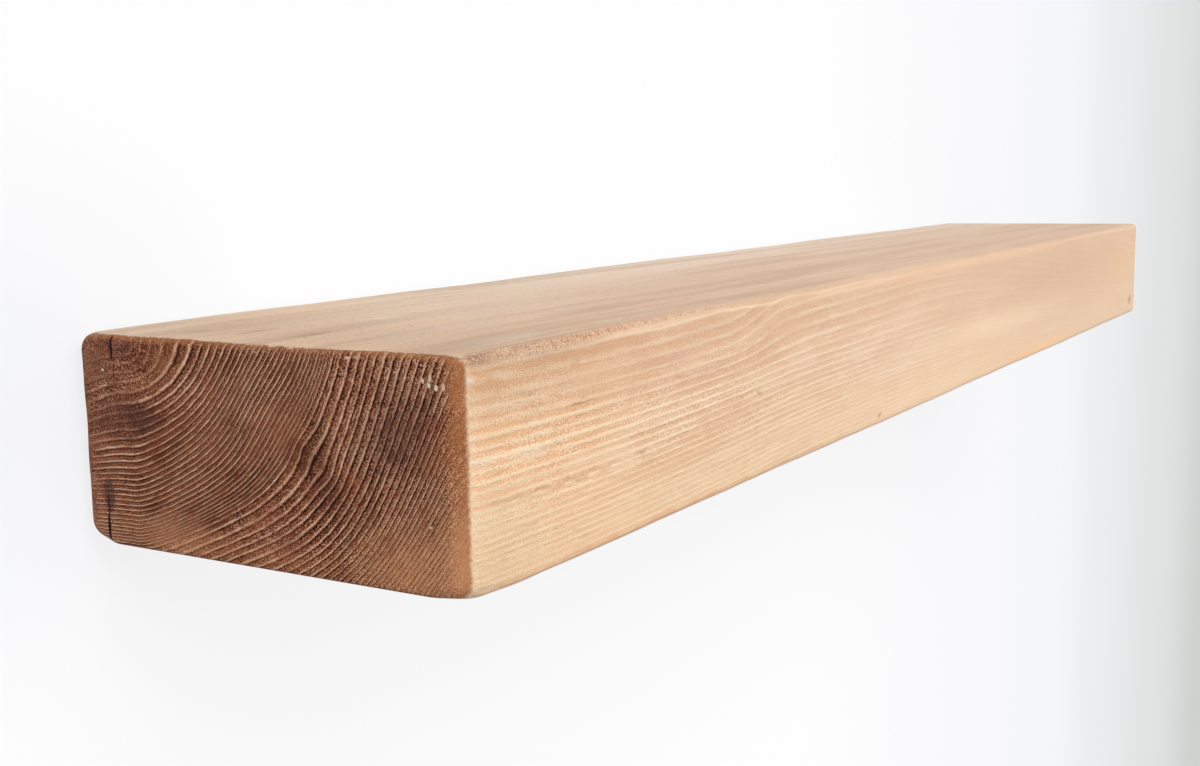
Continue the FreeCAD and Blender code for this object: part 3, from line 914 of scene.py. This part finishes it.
def long_face(r, place, rings, spot, rub, mottle, arris):
    """Pale oiled faces: growth rings as soft lines, pores as fine dashes, and worn edges."""
    along, across, up = r.axes(place)
    stirred = shaken_place(r, place, 140, 6 * MM)
    near = r.remap(along, -0.33, -0.45)
    far = r.remap(along, -0.3, 0.3)
    top = r.remap(up, 31 * MM, 34.4 * MM)
    under = r.remap(up, -33.4 * MM, -34.6 * MM)
    share = r.maths("FRACT", rings)
    ridge = r.ramp(
        share, (0, 0.2), (0.3, 0.25), (0.5, 0.85), (0.6, 1), (0.72, 0.4), (0.82, 0), (1, 0.2)
    )
    broad = r.ramp(
        share, (0, 0), (0.18, 0.06), (0.4, 0.75), (0.58, 1), (0.78, 0.8), (0.9, 0.12), (1, 0)
    )
    ridge = r.mix(r.remap(near, 0, 1, 0, 0.8), ridge, broad)
    one_ring = r.node("ShaderNodeTexWhiteNoise", noise_dimensions="1D")
    r.feed(one_ring.inputs["W"], r.maths("FLOOR", rings))
    ring_shade = one_ring.outputs["Value"]
    fibre = r.noise(r.place((60, 1300, 1300)), 1, 4, 0.75)
    band = r.noise(r.along_rings(rings, 0.9, 1, 45 * MM), 1, 2, 0.6)
    dash = r.noise(r.place((70, 620, 620)), 1, 3, 0.65)
    streak = r.noise(r.place((5, 110, 110)), 1, 3, 0.6)
    cloud = r.noise(r.place((9, 30, 30)), 1, 3, 0.6)
    smear = r.noise(r.place((3.2, 58, 58)), 1, 4, 0.6)
    blush = r.noise(r.along_rings(rings, 0.32, 1, 70 * MM), 1, 3, 0.6)

    clear = r.times(
        r.remap(top, 0, 1, 1, 0.75), r.remap(near, 0, 1, 1, 1.9), r.remap(along, -0.28, 0.12, 1, 0.4)
    )
    bold = r.times(
        r.remap(top, 0, 1, 0.5, 0.4),
        r.remap(band, 0.35, 0.65, 0.45, 1.4),
        r.remap(along, -0.42, -0.3, 1, 1.45),
        r.remap(along, -0.25, 0.05, 1, 0.55),
        r.remap(under, 0, 1, 1, 3),
    )
    line = r.times(r.maths("SUBTRACT", ridge, 0.35), bold)
    shift = r.use(mottle, place=place, crumb_scale=1900, crumb=0.95, cloud_scale=60, cloud=0.4)
    pores = r.plus(r.off_centre(fibre, 0.8), shift)
    tone = r.maths("MULTIPLY_ADD", r.plus(line, pores), clear, 0.5)
    colour = r.ramp(
        tone,
        (0.06, paint(204, 146, 98)),
        (0.3, paint(225, 175, 129)),
        (0.5, paint(236, 196, 157)),
        (0.92, paint(255, 230, 196)),
    )
    tan = r.times(
        r.remap(cloud, 0.42, 0.6),
        r.remap(ring_shade, 0.6, 0.1),
        r.remap(ridge, 0.2, 0.9, 1, 0.2),
        r.remap(near, 0, 1, 0.15, 0.8),
    )
    even = r.remap(near, 0, 1, 0.36, 0.12)
    colour = r.lay(
        colour,
        (r.remap(streak, 0.4, 0.75, 0, 0.45), (222, 176, 142)),
        (r.times(ring_shade, 0.2), (244, 208, 164)),
        (tan, (226, 164, 106)),
        (r.times(r.remap(blush, 0.5, 0.62), even), (226, 174, 134)),
        (r.times(r.remap(blush, 0.5, 0.38), even), (248, 218, 184)),
    )
    lift = r.times(near, r.remap(up, 30 * MM, -30 * MM, 0.85, 1.35))
    colour = r.mix(lift, colour, paint(142, 116, 88), "ADD")
    pale = r.times(r.remap(along, -0.34, -0.18), r.remap(across, -85 * MM, -20 * MM))
    colour = r.lay(
        colour,
        (r.remap(along, -0.4, -0.1, 0, 0.3), (240, 212, 188)),
        (r.remap(up, 2 * MM, 30 * MM, 0, 0.4), (220, 174, 138)),
        (r.remap(up, 0, -32 * MM, 0, 0.45), (246, 210, 166)),
        (r.times(r.remap(dash, 0.58, 0.7), r.remap(near, 0, 1, 0.1, 0.4)), (186, 130, 92)),
        (r.times(under, r.remap(streak, 0.4, 0.62, 0, 0.45)), (204, 150, 108)),
        (r.times(top, 0.5), (221, 189, 157)),
        (r.times(top, r.remap(across, -120 * MM, -5 * MM, 0, 0.5)), (236, 212, 182)),
        (r.times(top, pale, 0.55), (244, 226, 208)),
        (r.times(top, r.remap(smear, 0.43, 0.62, 0, 0.45)), (188, 148, 114)),
        (r.times(top, r.remap(streak, 0.46, 0.3, 0, 0.38)), (240, 212, 184)),
        (r.times(top, near, 0.08), (200, 158, 120)),
        (r.times(far, r.remap(top, 0, 1, 0.6, 0.45)), (210, 177, 148)),
    )
    colour = mark_with(r, colour, SIDE_MARKS, stirred, spot)
    colour = mark_with(r, colour, FINE_SIDE_MARKS, shaken_place(r, place, 400, 0.9 * MM), spot)

    # The rough upper arris near the left end, smoother along the beam.
    speck = r.remap(r.noise(place, 1500, 2, 0.85), 0.4, 0.56)
    clump = r.remap(r.noise(place, 240, 3, 0.7), 0.4, 0.6, 0.55, 0.95)
    flake = r.remap(r.noise(place, 1000, 2, 0.8), 0.56, 0.62)
    dark = patch(r, spot, stirred, (-446, -158, 33), (13, 9, 5), 0.3)
    rough = r.mix(r.remap(cloud, 0.4, 0.6), paint(246, 216, 182), paint(232, 192, 154))
    rough = r.lay(
        rough,
        (dark, (166, 122, 98)),
        (r.times(speck, clump), (164, 106, 78)),
        (r.times(dark, flake), (240, 222, 204)),
    )
    bend = r.plus(along, r.remap(up, 33.4 * MM, 34.2 * MM, 0, -0.06))
    smooth = r.maths("MAXIMUM", r.remap(bend, -0.385, -0.30), r.remap(up, 20 * MM, 10 * MM))
    worn = r.times(
        r.use(rub, edge=arris, place=place, grit=900, amount=0.8),
        r.remap(smooth, 0, 1, 1, 0.4),
        r.remap(up, -20 * MM, 0, 0.2, 1),
    )
    colour = r.mix(worn, colour, r.mix(smooth, rough, paint(212, 174, 140)))

    # A painted highlight line below that arris, a painted shadow line above it and a pale fringe beside the
    # end.
    height = r.remap(along, -0.44, -0.3, 30.9 * MM, 32.4 * MM)
    wave = r.off_centre(r.noise(r.place((16, 1, 1)), 1, 2, 0.5), 5 * MM, height)
    width = r.remap(along, -0.4, -0.3, 1.1 * MM, 0.75 * MM)
    painted_highlight_line = r.times(
        r.remap(r.maths("ABSOLUTE", r.maths("SUBTRACT", up, wave)), width, 0.1 * MM),
        r.remap(across, -156 * MM, -158.5 * MM),
        r.remap(streak, 0.36, 0.6, 0.3, 1),
        r.remap(along, -0.3, -0.08, 0.65, 0.12),
    )
    painted_shadow_line = r.times(
        r.remap(r.maths("ABSOLUTE", r.plus(across, 157 * MM)), 0.9 * MM, 0.2 * MM),
        r.remap(up, 33.2 * MM, 34 * MM),
        r.remap(along, -0.3, -0.42, 0, 0.6),
        r.remap(streak, 0.3, 0.55, 0.3, 1),
    )
    chafed = r.times(
        r.remap(up, 30 * MM, 32.4 * MM),
        r.remap(along, -0.36, -0.41, 0, 0.7),
        r.remap(across, -157 * MM, -159 * MM),
    )
    fringe = r.times(
        r.remap(r.plus(along, r.off_centre(band, 10 * MM)), -442.5 * MM, -447.5 * MM),
        r.remap(r.noise(place, 420, 3, 0.7), 0.4, 0.6, 0.25, 1),
        r.remap(speck, 0, 1, 0.1, 0.7),
        r.remap(across, -150 * MM, -156 * MM),
        r.remap(up, -20 * MM, 10 * MM, 0.5, 1),
        r.remap(dark, 0, 1, 1, 0.2),
    )
    colour = r.lay(colour, (painted_highlight_line, (248, 224, 190)), (painted_shadow_line, (160, 120, 94)))
    colour = r.mix(chafed, colour, rough)
    return r.mix(fringe, colour, paint(250, 230, 204)), tone


def oiled_timber(spot, rub, mottle):
    """Brushed end grain stained dark, and pale oiled faces with the same growth rings running along them."""
    material, r, surface = new_finish("oiled_timber")
    place = r.place()
    rings, end, arris, cut = (r.held(n) for n in ("rings", "end_grain", "arris", "fresh_cut"))
    wander = r.noise(r.place((14, 190, 190)), 1, 3, 0.6)
    ragged = r.noise(r.place((60, 1200, 1200)), 1, 2, 0.6)
    rings = r.plus(rings, r.plus(r.off_centre(wander, 0.26, 0.85), r.off_centre(ragged, 0.26)))

    end_colour, height = end_grain(r, place, rings, spot, mottle)
    side_colour, tone = long_face(r, place, rings, spot, rub, mottle, arris)
    border = r.plus(end, r.off_centre(r.noise(place, 700, 3, 0.7), 0.7))
    frayed = shaken_place(r, place, 420, 2.4 * MM)
    for centre, reach, bare, edge in BARE_SPOTS:
        border = r.maths("MULTIPLY_ADD", patch(r, spot, frayed, centre, reach, edge), -bare, border)
    at_top = r.remap(r.axes(place)[2], 33 * MM, 34 * MM)
    # Painted shadow: a dark brown line on the top along the end's top edge.
    painted_seam_shadow = r.times(r.remap(border, 0.02, 0.24), at_top, 0.85)
    side_colour = r.mix(painted_seam_shadow, side_colour, paint(142, 96, 70))
    share = r.remap(border, r.remap(at_top, 0, 1, 0.08, 0.28), r.remap(at_top, 0, 1, 0.8, 0.6))
    colour = r.mix(share, side_colour, end_colour)
    fresh = r.ramp(tone, (0.1, paint(214, 170, 122)), (0.9, paint(238, 204, 160)))
    r.feed(surface["Base Color"], r.mix(cut, colour, fresh))

    r.feed(surface["Roughness"], r.maths("MULTIPLY_ADD", end, 0.18, r.remap(tone, 0.3, 0.7, 0.62, 0.5)))
    r.feed(surface["Normal"], r.bump(r.plus(r.times(height, end), r.times(tone, 0.3)), 0.55 * MM))
    r.feed(surface["Specular IOR Level"], r.remap(end, 0.3, 0.8, 0.35, 0.04))
    return material


def black_powder_coat(rub, mottle):
    """Fine-textured black coat on the welded bracket, thinner and rubbed where the beam slides."""
    material, r, surface = new_finish("black_powder_coat")
    place = r.place()
    deep, up = r.axes(place)[1:3]
    shift = r.use(mottle, place=place, crumb_scale=1400, crumb=0.4, cloud_scale=30, cloud=0.7)
    slid = r.remap(r.noise(r.place((400, 12, 400)), 1, 4, 0.7), 0.58, 0.75, 0, 0.35)
    bar_edge = r.remap(r.maths("ABSOLUTE", up), 21.8 * MM, 23 * MM)
    rod_tip = r.remap(deep, -128.6 * MM, -130.6 * MM)
    worn = r.maths("MAXIMUM", bar_edge, rod_tip)
    rubbed = r.use(rub, edge=worn, place=place, grit=600, amount=0.5)
    tone = r.ramp(r.plus(shift, 0.5), (0.2, paint(24, 25, 27)), (0.8, paint(50, 51, 54)))
    tone = r.lay(tone, (slid, (84, 84, 86)), (rubbed, (112, 112, 114)))
    r.feed(surface["Base Color"], tone)
    r.feed(surface["Roughness"], r.maths("MULTIPLY_ADD", shift, 0.35, 0.5))
    r.feed(surface["Normal"], r.bump(shift, 0.08 * MM))
    return material


def zinc_plate(mottle):
    """Bright zinc on the screws and washers, with a faint cloudiness."""
    material, r, surface = new_finish("zinc_plate")
    place = r.place()
    shift = r.use(mottle, place=place, crumb_scale=2600, crumb=0.15, cloud_scale=240, cloud=0.9)
    tone = r.ramp(
        r.plus(shift, 0.5),
        (0.2, paint(166, 170, 175)),
        (0.5, paint(196, 199, 202)),
        (0.8, paint(208, 203, 184)),
    )
    r.feed(surface["Base Color"], tone)
    surface["Metallic"].default_value = 1
    r.feed(surface["Roughness"], r.maths("MULTIPLY_ADD", shift, 0.3, 0.33))
    r.feed(surface["Normal"], r.bump(shift, 0.03 * MM))
    return material


# ---------------------------------------------------------------- room


def stage_plane(name, centre, size, turn, material):
    bm = bmesh.new()
    bmesh.ops.create_grid(bm, x_segments=1, y_segments=1, size=0.5)
    bmesh.ops.scale(bm, verts=bm.verts, vec=(size[0], size[1], 1))
    bmesh.ops.rotate(bm, verts=bm.verts, cent=(0, 0, 0), matrix=turn)
    bmesh.ops.translate(bm, verts=bm.verts, vec=centre)
    mesh = mesh_from(bm, name)
    mesh.materials.append(material)
    plane = put_in_scene(name, mesh)
    plane.visible_diffuse = False
    plane.visible_shadow = False


def room_paint(name, spot, *stops):
    """Matt paint that shows bright to the eye, greyer along the wall by painted shade, with a painted shadow
    patch near the beam's left end, and can't be seen from behind.
    """
    material = bpy.data.materials.new(name)
    r = recipe_for(material)
    along = r.maths("DIVIDE", r.axes(r.place())[0], WALL_FADE)
    tint = r.ramp(along, *((x / WALL_FADE, paint(*tone)) for x, tone in stops))
    shadow = patch(r, spot, r.place(), (-490, 0, 10), (160, 1000, 120))
    tint = r.lay(tint, (r.times(shadow, 0.8), (242, 243, 246)))
    matt = r.node("ShaderNodeBsdfDiffuse")
    r.feed(matt.inputs["Color"], tint)
    glow = r.node("ShaderNodeEmission")
    r.feed(glow.inputs["Color"], tint)
    clear = r.node("ShaderNodeBsdfTransparent")
    front = r.blend(0.84, matt.outputs[0], glow.outputs[0])
    behind = r.node("ShaderNodeNewGeometry").outputs["Backfacing"]
    output = r.node("ShaderNodeOutputMaterial")
    r.feed(output.inputs["Surface"], r.blend(behind, front, clear.outputs[0]))
    return material


def make_room(spot):
    upright = Matrix.Rotation(math.radians(90), 3, "X")
    # Painted shade: the wall greys towards the right, as the light falls off along it.
    white = room_paint(
        "white_wall_paint",
        spot,
        (0.1, (252, 252, 253)),
        (0.6, (247, 247, 249)),
        (0.87, (243, 244, 246)),
        (1.12, (234, 235, 236)),
        (1.5, (224, 225, 225)),
        (2, (206, 208, 206)),
    )
    plain = room_paint("pale_floor_paint", spot, (0, (252, 252, 253)), (2, (252, 252, 253)))
    stage_plane("wall", (-1, 0.2 * MM, 0.4), (9, 5), upright, white)
    stage_plane("floor", (-1, -1.5, -1.3), (9, 9), Matrix.Identity(3), plain)


def make_light():
    world = bpy.data.worlds.new("studio")
    bpy.context.scene.world = world
    r = recipe_for(world)
    soft = r.node("ShaderNodeBackground")
    soft.inputs["Color"].default_value = paint(250, 250, 252)
    soft.inputs["Strength"].default_value = 0.5
    seen = r.node("ShaderNodeBackground")
    seen.inputs["Color"].default_value = paint(250, 250, 251)
    path = r.node("ShaderNodeLightPath").outputs
    direct = r.maths("MAXIMUM", path["Is Camera Ray"], path["Is Glossy Ray"])
    direct = r.maths("MAXIMUM", direct, path["Is Transmission Ray"])
    output = r.node("ShaderNodeOutputWorld")
    r.feed(output.inputs["Surface"], r.blend(direct, soft.outputs[0], seen.outputs[0]))

    for name, direction, strength, spread in (
        ("window", (0.25, 1, -0.75), 2.13, 50),
        ("side_window", (1, 0.5, -0.35), 0.7, 60),
    ):
        lamp = bpy.data.lights.new(name, "SUN")
        lamp.energy = strength
        lamp.angle = math.radians(spread)
        put_in_scene(name, lamp).rotation_euler = Vector(direction).to_track_quat("-Z", "Y").to_euler()


def make_camera():
    camera = bpy.data.cameras.new("camera")
    camera.lens = LENS
    camera.sensor_width = 36
    camera.clip_start = 0.02
    holder = put_in_scene("camera", camera)
    holder.location = CAMERA_PLACE
    holder.rotation_euler = [math.radians(angle) for angle in CAMERA_TURN]
    bpy.context.scene.camera = holder


bpy.context.scene.view_settings.view_transform = "Standard"
soft_spot = soft_spot_effect()
edge_rub = edge_rub_effect()
mottle = mottle_effect()
timber = oiled_timber(soft_spot, edge_rub, mottle)
coat = black_powder_coat(edge_rub, mottle)
zinc = zinc_plate(mottle)

make_beam(timber)
make_screws(zinc)
for node_name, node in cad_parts.items():
    for start, finish in (("back_bar", coat), ("support_rod", coat), ("washer", zinc)):
        if node_name.startswith(start):
            node.data.materials.clear()
            node.data.materials.append(finish)
make_room(soft_spot)
make_light()
make_camera()
